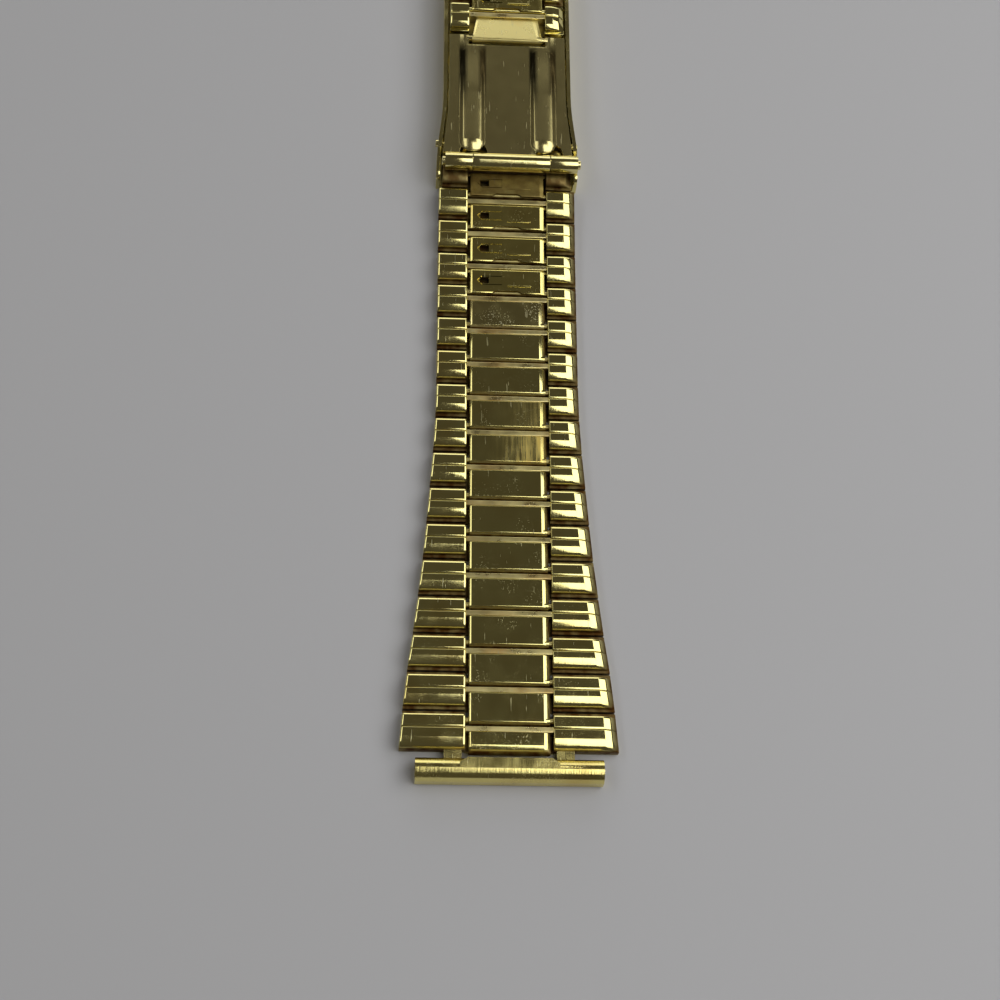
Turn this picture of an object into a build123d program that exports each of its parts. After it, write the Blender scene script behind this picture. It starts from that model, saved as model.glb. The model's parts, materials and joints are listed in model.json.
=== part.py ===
from build123d import *

import os
from math import asin, cos, degrees, radians, sin

os.makedirs("parts", exist_ok=True)

# A folded-link watch bracelet, lying skin side up with its three-fold clasp shut.
# X runs across the band, Y along it from the lower lug end to the upper one, and Z up,
# towards the skin. The origin is the middle of the lower lug tube's bore.
# All lengths are in millimetres and all angles in degrees.

# Driving sizes of the band
lug_gap = 18.0
straight_width = 14.6
clasp_link_width = 12.6
clasp_mouth_link_width = 13.9
lug_end_width = 20.9
pitch = 3.9
plate_width = 7.8
lower_link_count = 17
upper_link_count = 14
first_flap_link = 14
upper_flap_link = 2
clasp_side_links = 4

# How much of the flare is left at each link, counted from a lug end
flare_shares = (1.0, 0.91, 0.79, 0.63, 0.49, 0.36, 0.26, 0.17, 0.08, 0.02, 0.0)

# Lug tubes
tube_side_gap = 0.1
bore_radius = 0.8
tube_wall = 0.35
tube_radius = bore_radius + tube_wall
tube_length = lug_gap - tube_side_gap - tube_side_gap
lip_width = 7.9
lip_reach = 1.00
lip_shoulder = 0.55
lip_slope = 0.75
tab_inner = 4.5
tab_width = 1.7
tab_thickness = 0.2
tab_bar_radius = 0.25
tab_curl_radius = 0.5
lug_to_tab_bar = 2.6
tab_bar_to_link_bar = 2.3

# Sheet, hinge bars and hooks of the links
sheet = 0.25
bar_radius = 0.3
bar_clearance = 0.05
hook_swing_clearance = 0.08
hook_bore = bar_radius + bar_clearance
hook_radius = hook_bore + sheet
rib_proud = 0.12
rib_top = hook_radius + rib_proud
link_bottom = -tube_radius
floor_sheet_top = -hook_radius - hook_swing_clearance

# Where a link's ribs, strip and plate begin and end, along the band from its hinge bar
ledge_front = 0.88
ledge_height = -0.10
ledge_rise = 0.05
rib_a_front = 0.44
rib_split = -0.88
rib_b_bend = -1.40
rib_b_end = -2.55
rib_b_end_height = 0.10
end_fold_run = 0.70
end_fold_drop = 0.20
end_face_run = 0.60
end_face_drop = 0.60
plain_fold_run = 0.15
plain_fold_drop = 0.06
plain_face_run = 0.12
plain_face_drop = 0.30
tongue_end = -2.82
tongue_height = -0.05
groove_half = 0.11
groove_depth = 0.15
edge_chamfer = 0.12
show_chamfer = 0.25
strip_front = -0.70
strip_length = 0.55
plate_seam = 0.05
plate_front = strip_front - strip_length - plate_seam
plate_lip = 0.30
plate_end = -pitch - plate_lip
side_gap = 0.30
channel_half = plate_width / 2 + side_gap
end_rib_reach = -2.90
end_plate_end = -3.35
end_plate_roll = 0.85
overrun = 1.0

# Opening flaps: a hinge axle at the strip, a pry notch in the free edge and a hole
flap_axle_radius = 0.15
flap_axle_clearance = 0.03
flap_axle_grip = 0.5
flap_axis = plate_front - sheet
notch_base = 3.2
notch_top = 2.3
notch_depth = 0.27
arrow_hole_across = -2.4
arrow_hole_along = -2.70
arrow_hole_width = 0.95
arrow_hole_length = 0.75

# Clasp
clasp_sheet = 0.45
wall = 0.40
seat_clearance = 0.10
cover_half = 6.95
mouth_flare = 0.65
flare_length = 10.0
mouth_straight = 1.0
wall_top = 2.30
wall_far_top = 0.60
wall_far_run = 4.0
mouth_corner = 0.9
mouth_step_reach = 2.5
mouth_step_run = 0.6
mouth_step_top = 1.30
mouth_overlap = 2.1
flare_at_spring_bar_share = 0.63
blade_sheet = 0.40
blade_head_gap = 0.18
barrel_radius = 0.95
pin_radius = 0.50
pin_clearance = 0.04
pin_bore = pin_radius + pin_clearance
knuckle_gap = 0.10
centre_knuckle_half = 4.1
barrel_half = 7.1
barrel_shift = 0.4
pin_stub = 0.35
far_knuckle_half = cover_half - wall - seat_clearance
barrel_setback = 1.25
blade_reach = 16.2
cover_beyond_blade = 15.3
cover_length = blade_reach + cover_beyond_blade
blade_side_gap = 0.20
relief_radius = 1.5
stiffener_across = 3.85
stiffener_width = 2.8
stiffener_height = 0.55
stiffener_end_gap = 1.3
stiffener_start_gap = 1.55
arm_width = 2.1
ramp_start = 5.0
ramp_length = 7.0
adjusting_hole_count = 3
adjusting_hole_step = 3.2
spring_bar_radius = 0.50
spring_tip_radius = 0.40
spring_tip_stand_out = 0.35
spring_hole_clearance = 0.05
spring_tube_radius = 0.75
spring_tube_length = 12.0
spring_bar_body_gap = 0.3
clasp_end_reach = 2.6
upper_lug_reach = 3.3
shoulder_front = ledge_front + side_gap
shoulder_back = 2.2
hook_plate_top_share = 0.87

floor = -tube_radius
cover_floor_top = floor + clasp_sheet
mouth_half = cover_half + mouth_flare
entry_rise = clasp_sheet + seat_clearance


# A place is a link's hinge bar: its y, its z and the tilt of the link that hangs from it
def side_plane(place):
    y, z, tilt = place
    slope = radians(tilt)
    return Plane(origin=(0, y, z), x_dir=(0, cos(slope), sin(slope)), z_dir=(1, 0, 0))


def plan_plane(place):
    y, z, tilt = place
    slope = radians(tilt)
    return Plane(origin=(0, y, z), x_dir=(1, 0, 0), z_dir=(0, -sin(slope), cos(slope)))


def next_place(place, tilt):
    y, z, _ = place
    slope = radians(tilt)
    return (y + pitch * cos(slope), z + pitch * sin(slope), tilt)


# The lower half climbs onto the clasp cover's floor over two links
ramp_tilt = degrees(asin(entry_rise / 2 / pitch))
lower_places = [(lug_to_tab_bar + tab_bar_to_link_bar, 0, 0)]
for number in range(2, lower_link_count + 1):
    climbs = number in (lower_link_count - 2, lower_link_count - 1)
    lower_places.append(next_place(lower_places[-1], ramp_tilt if climbs else 0))
clasp_end_place = lower_places[-1]
spring_bar_y = clasp_end_place[0] + clasp_end_reach
spring_bar_z = clasp_end_place[1]

# The clasp's two hinges and the bar that the upper half hooks over
cover_near = clasp_end_place[0] - mouth_overlap
cover_far = cover_near + cover_length
barrel_y = cover_near + barrel_setback
middle_blade_low = entry_rise + rib_top + blade_head_gap
barrel_z = middle_blade_low + barrel_radius
cover_hinge_y = cover_far - barrel_radius
cover_hinge_z = floor + barrel_radius
hook_bar_y = barrel_y + blade_reach
hook_bar_z = barrel_z

# The upper half leaves the clasp level, then comes down to the surface over five links
drop_shares = (0.11, 0.23, 0.32, 0.23, 0.11)
upper_places = []
place = (hook_bar_y, hook_bar_z, 0)
for number in range(1, upper_link_count + 1):
    step = number - clasp_side_links - 1
    falls = 0 <= step < len(drop_shares)
    tilt = -degrees(asin(hook_bar_z * drop_shares[step] / pitch)) if falls else 0
    place = next_place(place, tilt)
    upper_places.append(place)
upper_lug_place = (upper_places[-1][0], upper_places[-1][1], 0)


def half_width(links_from_lug):
    share = flare_shares[min(links_from_lug, len(flare_shares) - 1)]
    return (straight_width + (lug_end_width - straight_width) * share) / 2


# Sections of the links, each drawn on the link's side plane or plan plane
def outline_section(place, near_half, far_half, front, back):
    with BuildSketch(plan_plane(place)) as section:
        with BuildLine():
            Polyline(
                (-far_half, front), (far_half, front), (near_half, back), (-near_half, back), close=True
            )
        make_face()
    return section.sketch


def rib_section(side, rib_end, ends, tongue):
    bend_start = rib_end - rib_b_end + rib_b_bend
    with BuildSketch(side) as section:
        with BuildLine():
            Polyline(
                (ends, link_bottom + show_chamfer),
                (ends + show_chamfer, link_bottom),
                (rib_split - show_chamfer, link_bottom),
                (rib_split, link_bottom + show_chamfer),
                (rib_split + show_chamfer, link_bottom),
                (ledge_front - show_chamfer, link_bottom),
                (ledge_front, link_bottom + show_chamfer),
                (ledge_front, ledge_height),
                (rib_a_front, ledge_height + ledge_rise),
                (rib_a_front, rib_top - edge_chamfer),
                (rib_a_front - edge_chamfer, rib_top),
                (rib_split + groove_half, rib_top),
                (rib_split, rib_top - groove_depth),
                (rib_split - groove_half, rib_top),
                (bend_start, rib_top),
            )
            EllipticalCenterArc(
                (bend_start, rib_b_end_height),
                bend_start - rib_end,
                rib_top - rib_b_end_height,
                start_angle=90,
                arc_size=90,
            )
            if tongue:
                Polyline(
                    (rib_end, rib_b_end_height),
                    (rib_end, tongue_height - groove_depth),
                    (rib_end - groove_half, tongue_height),
                    (ends + groove_half, tongue_height),
                    (ends, tongue_height - groove_half),
                    (ends, link_bottom + show_chamfer),
                )
            else:
                Line((rib_end, rib_b_end_height), (ends, link_bottom + show_chamfer))
        make_face()
    return section.sketch


def strip_section(side):
    with BuildSketch(side) as section:
        with Locations((strip_front - strip_length / 2, (hook_radius + link_bottom) / 2)):
            Rectangle(strip_length, hook_radius - link_bottom)
        Circle(bar_radius)
    return section.sketch


def channel_section(side, back):
    with BuildSketch(side) as section:
        with Locations(((ledge_front + back) / 2, (rib_top + overrun + floor_sheet_top) / 2)):
            Rectangle(ledge_front - back + overrun, rib_top + overrun - floor_sheet_top)
        with Locations(((rib_a_front + ledge_front + overrun) / 2, 0)):
            Rectangle(ledge_front + overrun - rib_a_front, tube_radius + tube_radius + overrun)
    return section.sketch


# A hook: a flat sheet that ends in a curl round the bar at hook_y, open on the side it comes from
def hook_section(side, hook_y, front, back):
    with BuildSketch(side) as section:
        with Locations((hook_y, 0)):
            Circle(hook_radius)
        with Locations(((front + back) / 2, (hook_bore + hook_radius) / 2)):
            Rectangle(abs(front - back), sheet)
        with Locations((hook_y, 0)):
            Circle(hook_bore, mode=Mode.SUBTRACT)
        with Locations((hook_y + hook_radius / 2, hook_bore / 2)):
            Rectangle(hook_radius, hook_bore, mode=Mode.SUBTRACT)
    return section.sketch


def leg_section(side, leg_front):
    with BuildSketch(side) as section:
        with Locations((leg_front - sheet / 2, (floor_sheet_top + hook_radius) / 2)):
            Rectangle(sheet, hook_radius - floor_sheet_top)
    return section.sketch


# The ribs' outer ends bend down in two folds on the right and are only rounded over on the left
def end_cuts(place, near_half, far_half, front, back):
    plan = plan_plane(place)
    cuts = []
    plain_end = (-1, plain_fold_run, plain_fold_drop, plain_face_run, plain_face_drop)
    folded_end = (1, end_fold_run, end_fold_drop, end_face_run, end_face_drop)
    for side, fold_run, fold_drop, face_run, face_drop in (plain_end, folded_end):
        near_corner = plan.from_local_coords((side * near_half, back, 0))
        far_corner = plan.from_local_coords((side * far_half, front, 0))
        along = far_corner - near_corner
        with BuildSketch(Plane(origin=near_corner, x_dir=along.cross(plan.z_dir), z_dir=-along)) as section:
            with BuildLine():
                Polyline(
                    (-side * (face_run + fold_run), rib_top),
                    (-side * face_run, rib_top - fold_drop),
                    (0, rib_top - fold_drop - face_drop),
                    (side * overrun, rib_top - fold_drop - face_drop),
                    (side * overrun, rib_top + overrun),
                    (-side * (face_run + fold_run), rib_top + overrun),
                    close=True,
                )
            make_face()
        cuts.append((section.sketch, along.length))
    return cuts


# Frames: ribs on both sides, joined by a floor sheet, a cross strip and a hinge bar
def make_frame(place, near_half, far_half):
    side = side_plane(place)
    with BuildPart() as frame:
        extrude(rib_section(side, rib_b_end, tongue_end, True), amount=lug_end_width, both=True)
        extrude(channel_section(side, tongue_end), amount=channel_half, both=True, mode=Mode.SUBTRACT)
        extrude(strip_section(side), amount=channel_half, both=True)
        outline = outline_section(place, near_half, far_half, ledge_front, tongue_end)
        extrude(outline, amount=tube_radius + overrun, both=True, mode=Mode.INTERSECT)
        for section, length in end_cuts(place, near_half, far_half, ledge_front, tongue_end):
            extrude(section, amount=length, both=True, mode=Mode.SUBTRACT)
    return frame.part


# The end frame has no tongue, and a pocket on each side with a bar for the lug tube's tabs
def make_end_frame(place, near_half, far_half):
    side = side_plane(place)
    plan = plan_plane(place)
    pocket_front = -tab_bar_to_link_bar + tab_curl_radius + plate_seam + bar_clearance
    pocket_back = end_rib_reach - overrun
    pocket_roof = tab_curl_radius + flap_axle_clearance
    open_front = -tab_bar_to_link_bar + plate_seam
    tab_middle = tab_inner + tab_width / 2
    pocket_width = tab_width + side_gap
    with BuildPart() as frame:
        extrude(rib_section(side, end_rib_reach, end_rib_reach, False), amount=lug_end_width, both=True)
        extrude(channel_section(side, end_rib_reach), amount=channel_half, both=True, mode=Mode.SUBTRACT)
        extrude(strip_section(side), amount=channel_half, both=True)
        outline = outline_section(place, near_half, far_half, ledge_front, end_rib_reach)
        extrude(outline, amount=tube_radius + overrun, both=True, mode=Mode.INTERSECT)
        for section, length in end_cuts(place, near_half, far_half, ledge_front, end_rib_reach):
            extrude(section, amount=length, both=True, mode=Mode.SUBTRACT)
        for front, roof in ((pocket_front, pocket_roof), (open_front, rib_top + overrun)):
            with BuildSketch(plan.offset(floor_sheet_top)):
                middle = (front + pocket_back) / 2
                with Locations((-tab_middle, middle), (tab_middle, middle)):
                    Rectangle(pocket_width, front - pocket_back)
            extrude(amount=roof - floor_sheet_top, mode=Mode.SUBTRACT)
        for across in (-tab_middle, tab_middle):
            with BuildSketch(side.offset(across)):
                with Locations((-tab_bar_to_link_bar, 0)):
                    Circle(tab_bar_radius)
            extrude(amount=(pocket_width + sheet) / 2, both=True)
    return frame.part


# An adjusting link's frame has a fixed jaw under the next bar, and sockets for its flap's axle
def make_jaw_frame(place, near_half, far_half):
    side = side_plane(place)
    with BuildPart() as frame:
        extrude(rib_section(side, rib_b_end, tongue_end, True), amount=lug_end_width, both=True)
        extrude(channel_section(side, tongue_end), amount=channel_half, both=True, mode=Mode.SUBTRACT)
        extrude(strip_section(side), amount=channel_half, both=True)
        outline = outline_section(place, near_half, far_half, ledge_front, tongue_end)
        extrude(outline, amount=tube_radius + overrun, both=True, mode=Mode.INTERSECT)
        for section, length in end_cuts(place, near_half, far_half, ledge_front, tongue_end):
            extrude(section, amount=length, both=True, mode=Mode.SUBTRACT)
        with BuildSketch(side):
            with Locations((-pitch, 0)):
                Circle(hook_radius)
            with Locations(((strip_front - strip_length - pitch) / 2, -(hook_bore + hook_radius) / 2)):
                Rectangle(pitch + strip_front - strip_length, sheet)
            with Locations((-pitch, 0)):
                Circle(hook_bore, mode=Mode.SUBTRACT)
            with Locations((-pitch, hook_radius / 2)):
                Rectangle(hook_radius + hook_radius + overrun, hook_radius, mode=Mode.SUBTRACT)
        extrude(amount=plate_width / 2, both=True)
        for across in (-channel_half, channel_half):
            with BuildSketch(side.offset(across)):
                with Locations((flap_axis, hook_bore)):
                    Circle(flap_axle_radius + flap_axle_clearance)
            extrude(amount=flap_axle_grip, both=True, mode=Mode.SUBTRACT)
    return frame.part


# Plates: a folded leg behind the strip, a flat top and a hook round the next hinge bar
def make_plate(place, top_share=1.0):
    side = side_plane(place)
    half = plate_width / 2
    with BuildPart() as plate:
        extrude(hook_section(side, -pitch, plate_front, plate_end), amount=half, both=True)
        extrude(leg_section(side, plate_front), amount=half, both=True)
        if top_share < 1:
            with BuildSketch(plan_plane(place)):
                with BuildLine():
                    Polyline(
                        (-half * top_share, plate_front),
                        (half * top_share, plate_front),
                        (half, plate_end),
                        (half, plate_end - hook_radius),
                        (-half, plate_end - hook_radius),
                        (-half, plate_end),
                        close=True,
                    )
                make_face()
            extrude(amount=tube_radius, both=True, mode=Mode.INTERSECT)
    return plate.part


# The end plate has no hook: it rolls down in front of the lug tube
def make_end_plate(place):
    side = side_plane(place)
    roll_start = end_plate_end + end_plate_roll
    roll_bottom = hook_radius - end_plate_roll
    with BuildPart() as plate:
        with BuildSketch(side):
            with BuildLine():
                Line((plate_front, hook_bore), (plate_front, hook_radius))
                Line((plate_front, hook_radius), (roll_start, hook_radius))
                CenterArc((roll_start, roll_bottom), end_plate_roll, 90, 90)
                Line((end_plate_end, roll_bottom), (end_plate_end + sheet, roll_bottom))
                CenterArc((roll_start, roll_bottom), end_plate_roll - sheet, 90, 90)
                Line((roll_start, hook_bore), (plate_front, hook_bore))
            make_face()
        extrude(amount=plate_width / 2, both=True)
        extrude(leg_section(side, plate_front), amount=plate_width / 2, both=True)
        extrude(leg_section(side, roll_start + sheet), amount=plate_width / 2, both=True)
    return plate.part


def make_flap(place):
    side = side_plane(place)
    with BuildPart() as flap:
        with BuildSketch(side):
            with Locations((flap_axis, hook_bore)):
                Circle(sheet)
            with Locations(((flap_axis + plate_end) / 2, (hook_bore + hook_radius) / 2)):
                Rectangle(flap_axis - plate_end, sheet)
        extrude(amount=plate_width / 2, both=True)
        with BuildSketch(side):
            with Locations((flap_axis, hook_bore)):
                Circle(flap_axle_radius)
        extrude(amount=channel_half + flap_axle_grip - plate_seam, both=True)
        with BuildSketch(plan_plane(place)):
            with BuildLine():
                Polyline(
                    (-notch_base / 2, plate_end),
                    (-notch_top / 2, plate_end + notch_depth),
                    (notch_top / 2, plate_end + notch_depth),
                    (notch_base / 2, plate_end),
                    close=True,
                )
            make_face()
            with Locations((arrow_hole_across, arrow_hole_along)):
                Rectangle(arrow_hole_width, arrow_hole_length)
        extrude(amount=rib_top + overrun, both=True, mode=Mode.SUBTRACT)
    return flap.part


# Write one piece, or a group of separate solids that share a node
def write(shape, name):
    shape.label = name
    export_step(shape, "parts/" + name + ".step")


# Lower half
def link_halves(number):
    near = half_width(number - 1)
    far = half_width(number)
    if number == lower_link_count:
        return clasp_mouth_link_width / 2, clasp_mouth_link_width / 2
    return near, far


for number in range(1, lower_link_count + 1):
    place = lower_places[number - 1]
    near, far = link_halves(number)
    name = "lower_link_%02d" % number
    if number == 1:
        write(make_end_frame(place, near, far), name + "_frame")
        write(make_end_plate(place), name + "_plate")
    elif number < first_flap_link:
        write(make_frame(place, near, far), name + "_frame")
        write(make_plate(place), name + "_plate")
    else:
        write(make_jaw_frame(place, near, far), name + "_frame")
        write(make_flap(place), name + "_flap")

# Upper half: each frame shares a node with its own plate, except the flap of the adjusting link
for number in range(1, upper_link_count + 1):
    place = upper_places[number - 1]
    name = "upper_link_%02d" % number
    from_lug = upper_link_count - number
    if number <= clasp_side_links:
        near = far = clasp_link_width / 2
    else:
        near = half_width(from_lug + 1)
        far = half_width(from_lug)
    if number == upper_flap_link:
        write(make_jaw_frame(place, near, far), name)
        write(make_flap(place), name + "_flap")
    else:
        top_share = hook_plate_top_share if number == 1 else 1.0
        pair = [make_frame(place, near, far), make_plate(place, top_share)]
        write(Compound(children=pair), name)

# A lug tube is round on top, with an upright outer side and a flat show side
def lug_section(side, bore_along, outward):
    outer = bore_along + outward * tube_radius
    with BuildSketch(side) as section:
        with Locations((bore_along, 0)):
            Circle(tube_radius)
        with BuildLine():
            Polyline(
                (bore_along, 0),
                (outer, 0),
                (outer, show_chamfer - tube_radius),
                (outer - outward * show_chamfer, -tube_radius),
                (bore_along, -tube_radius),
                close=True,
            )
        make_face()
    return section.sketch


# Lower lug tube: a rolled tube with a raised centre lip and two tabs that curl round the end frame's bars
with BuildPart() as lower_lug_tube:
    extrude(lug_section(Plane.YZ, 0, -1), amount=tube_length / 2, both=True)
    with BuildSketch(Plane.XY.offset(bore_radius)):
        with BuildLine():
            Polyline(
                (-lip_width / 2 - lip_slope, 0),
                (-lip_width / 2 - lip_slope, lip_shoulder),
                (-lip_width / 2, lip_reach),
                (lip_width / 2, lip_reach),
                (lip_width / 2 + lip_slope, lip_shoulder),
                (lip_width / 2 + lip_slope, 0),
                close=True,
            )
        make_face()
    extrude(amount=tube_wall)
    for across in (-tab_inner - tab_width / 2, tab_inner + tab_width / 2):
        with BuildSketch(Plane.YZ.offset(across)):
            with Locations((lug_to_tab_bar, 0)):
                Circle(tab_curl_radius)
            with Locations((lug_to_tab_bar / 2, 0)):
                Rectangle(lug_to_tab_bar, tab_thickness)
        extrude(amount=tab_width / 2, both=True)
        with BuildSketch(Plane.YZ.offset(across)):
            with Locations((lug_to_tab_bar, 0)):
                Circle(tab_bar_radius + bar_clearance)
            with Locations((lug_to_tab_bar + tab_curl_radius / 2, -tab_curl_radius / 2)):
                Rectangle(tab_curl_radius, tab_curl_radius)
        extrude(amount=tab_width / 2, both=True, mode=Mode.SUBTRACT)
    with BuildSketch(Plane.YZ):
        Circle(bore_radius)
    extrude(amount=tube_length / 2, both=True, mode=Mode.SUBTRACT)
write(lower_lug_tube.part, "lower_lug_tube")

# Upper lug tube: it hooks over the last link's bar and has a shoulder on each side
upper_lug_side = side_plane(upper_lug_place)
hook_plate_back = upper_lug_reach - hook_radius
with BuildPart() as upper_lug_tube:
    extrude(lug_section(upper_lug_side, upper_lug_reach, 1), amount=tube_length / 2, both=True)
    with BuildSketch(upper_lug_side):
        with Locations(((shoulder_front + shoulder_back) / 2, (rib_top - sheet + link_bottom) / 2)):
            Rectangle(shoulder_back - shoulder_front, rib_top - sheet - link_bottom)
    extrude(amount=tube_length / 2, both=True)
    with BuildSketch(upper_lug_side):
        with Locations((shoulder_back / 2, (rib_top + overrun + floor_sheet_top) / 2)):
            Rectangle(shoulder_back + overrun, rib_top + overrun - floor_sheet_top)
    extrude(amount=channel_half, both=True, mode=Mode.SUBTRACT)
    extrude(
        hook_section(upper_lug_side, 0, hook_plate_back, -plate_lip), amount=plate_width / 2, both=True
    )
    with BuildSketch(upper_lug_side):
        with Locations((upper_lug_reach, 0)):
            Circle(tube_radius)
    extrude(amount=tube_length / 2, both=True)
    with BuildSketch(upper_lug_side):
        with Locations((upper_lug_reach, 0)):
            Circle(bore_radius)
    extrude(amount=tube_length / 2, both=True, mode=Mode.SUBTRACT)
write(upper_lug_tube.part, "upper_lug_tube")

# The lower half's clasp end: a hook over its last bar and a tube for the spring bar
clasp_end_side = side_plane((clasp_end_place[0], clasp_end_place[1], 0))
spring_bore = spring_bar_radius + pin_clearance
with BuildPart() as lower_clasp_end:
    extrude(
        hook_section(clasp_end_side, 0, clasp_end_reach, -plate_lip), amount=plate_width / 2, both=True
    )
    with BuildSketch(clasp_end_side):
        with Locations((clasp_end_reach, 0)):
            Circle(spring_tube_radius)
    extrude(amount=spring_tube_length / 2, both=True)
    with BuildSketch(clasp_end_side):
        with Locations((clasp_end_reach, 0)):
            Circle(spring_bore)
    extrude(amount=spring_tube_length / 2, both=True, mode=Mode.SUBTRACT)
write(lower_clasp_end.part, "lower_clasp_end")


# The clasp's sheets share one plan: straight sides that flare towards the mouth
def flared_section(height, half, near, far, wider):
    flare_end = cover_near + flare_length
    mouth_y = cover_near + mouth_straight
    with BuildSketch(Plane.XY.offset(height)) as section:
        with BuildLine():
            straight = Line((half, far), (half, flare_end))
            flare = Spline((half, flare_end), (half + wider, mouth_y), tangents=[(0, -1), (0, -1)])
            mouth = Line((half + wider, mouth_y), (half + wider, near))
            for edge in (straight, flare, mouth):
                mirror(edge, about=Plane.YZ)
            Line((half, far), (-half, far))
            Line((half + wider, near), (-half - wider, near))
        make_face()
    return section.sketch


# Clasp cover: a folded channel, wider at its mouth, with rolled knuckles at the far end
with BuildPart() as clasp_cover:
    cover_outline = flared_section(floor, cover_half, cover_near, cover_hinge_y, mouth_flare)
    extrude(cover_outline, amount=wall_top - floor)
    extrude(
        flared_section(
            cover_floor_top, cover_half - wall, cover_near - overrun, cover_hinge_y + overrun, mouth_flare
        ),
        amount=wall_top - cover_floor_top + overrun,
        mode=Mode.SUBTRACT,
    )
    # The walls step down under the barrel, with round corners, and come down at the far end
    with BuildSketch(Plane.YZ):
        with BuildLine():
            Polyline(
                (cover_near + mouth_corner, mouth_step_top),
                (cover_near + mouth_step_reach, mouth_step_top),
                (cover_near + mouth_step_reach + mouth_step_run, wall_top),
                (cover_hinge_y - wall_far_run, wall_top),
                (cover_hinge_y, wall_far_top),
                (cover_hinge_y, floor),
                (cover_near, floor),
                (cover_near, mouth_step_top - mouth_corner),
            )
            CenterArc((cover_near + mouth_corner, mouth_step_top - mouth_corner), mouth_corner, 90, 90)
        make_face()
    extrude(amount=mouth_half + overrun, both=True, mode=Mode.INTERSECT)
    # The outer knuckles, and the room for the middle blade's knuckle between them
    with BuildSketch(Plane.YZ):
        with Locations((cover_hinge_y, cover_hinge_z)):
            Circle(barrel_radius)
    extrude(amount=far_knuckle_half, both=True)
    with BuildSketch(Plane.XY.offset(floor)):
        with Locations((0, cover_hinge_y)):
            Rectangle(
                centre_knuckle_half + centre_knuckle_half + knuckle_gap + knuckle_gap,
                barrel_radius + barrel_radius + knuckle_gap + knuckle_gap,
            )
    extrude(amount=wall_top - floor, mode=Mode.SUBTRACT)
    with BuildSketch(Plane.YZ):
        with Locations((cover_hinge_y, cover_hinge_z)):
            Circle(pin_bore)
    extrude(amount=far_knuckle_half, both=True, mode=Mode.SUBTRACT)
    with BuildSketch(Plane.YZ):
        holes = range(adjusting_hole_count)
        with Locations(*[(spring_bar_y + adjusting_hole_step * hole, spring_bar_z) for hole in holes]):
            Circle(spring_tip_radius + spring_hole_clearance)
    extrude(amount=mouth_half + overrun, both=True, mode=Mode.SUBTRACT)
write(clasp_cover.part, "clasp_cover")

# Cover hinge pin
with BuildPart() as cover_hinge_pin:
    with BuildSketch(Plane.YZ):
        with Locations((cover_hinge_y, cover_hinge_z)):
            Circle(pin_radius)
    extrude(amount=far_knuckle_half, both=True)
write(cover_hinge_pin.part, "cover_hinge_pin")

# Middle blade: from the cover's hinge it lies on the floor, climbs over the lower half's end
# and carries the barrel's two outer knuckles
blade_low_z = cover_hinge_z - blade_sheet
blade_half = cover_half - wall - blade_side_gap
blade_flare = mouth_flare - bar_clearance
ramp_foot = barrel_y + ramp_start + ramp_length
ramp_head = barrel_y + ramp_start
middle_blade_far = cover_hinge_y - barrel_radius - knuckle_gap
barrel_plane = Plane.YZ.offset(barrel_shift)
knuckle_splits = (barrel_shift - centre_knuckle_half, barrel_shift + centre_knuckle_half)
with BuildPart() as middle_blade:
    with BuildSketch(Plane.YZ):
        with BuildLine():
            Polyline(
                (barrel_y, middle_blade_low),
                (ramp_head, middle_blade_low),
                (ramp_foot, blade_low_z),
                (cover_hinge_y, blade_low_z),
                (cover_hinge_y, cover_hinge_z),
                (ramp_foot + bar_clearance, cover_hinge_z),
                (ramp_head + bar_clearance, middle_blade_low + blade_sheet),
                (barrel_y, middle_blade_low + blade_sheet),
                close=True,
            )
        make_face()
    extrude(amount=barrel_half, both=True)
    with BuildSketch(Plane.XY.offset(floor)):
        add(flared_section(floor, blade_half, barrel_y - overrun, middle_blade_far, blade_flare))
        with Locations((0, cover_hinge_y - barrel_radius)):
            Rectangle(centre_knuckle_half + centre_knuckle_half, barrel_radius + barrel_radius + overrun)
    extrude(amount=barrel_z - floor, mode=Mode.INTERSECT)
    with BuildSketch(Plane.YZ):
        with Locations((cover_hinge_y, cover_hinge_z)):
            Circle(barrel_radius)
    extrude(amount=centre_knuckle_half, both=True)
    with BuildSketch(barrel_plane):
        with Locations((barrel_y, barrel_z)):
            Circle(barrel_radius)
    extrude(amount=barrel_half, both=True)
    # Room for the inner blade's knuckle
    with BuildSketch(Plane.XY.offset(middle_blade_low)):
        with Locations((barrel_shift, barrel_y)):
            Rectangle(
                centre_knuckle_half + centre_knuckle_half + knuckle_gap + knuckle_gap,
                barrel_radius + barrel_radius + knuckle_gap + knuckle_gap,
            )
    extrude(amount=barrel_radius + barrel_radius + overrun, mode=Mode.SUBTRACT)
    with BuildSketch(Plane.YZ):
        with Locations((cover_hinge_y, cover_hinge_z), (barrel_y, barrel_z)):
            Circle(pin_bore)
    extrude(amount=barrel_half + overrun, both=True, mode=Mode.SUBTRACT)
write(middle_blade.part, "middle_blade")

# Barrel pin
with BuildPart() as blade_hinge_pin:
    with BuildSketch(barrel_plane):
        with Locations((barrel_y, barrel_z)):
            Circle(pin_radius)
    extrude(amount=barrel_half + pin_stub, both=True)
write(blade_hinge_pin.part, "blade_hinge_pin")

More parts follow.
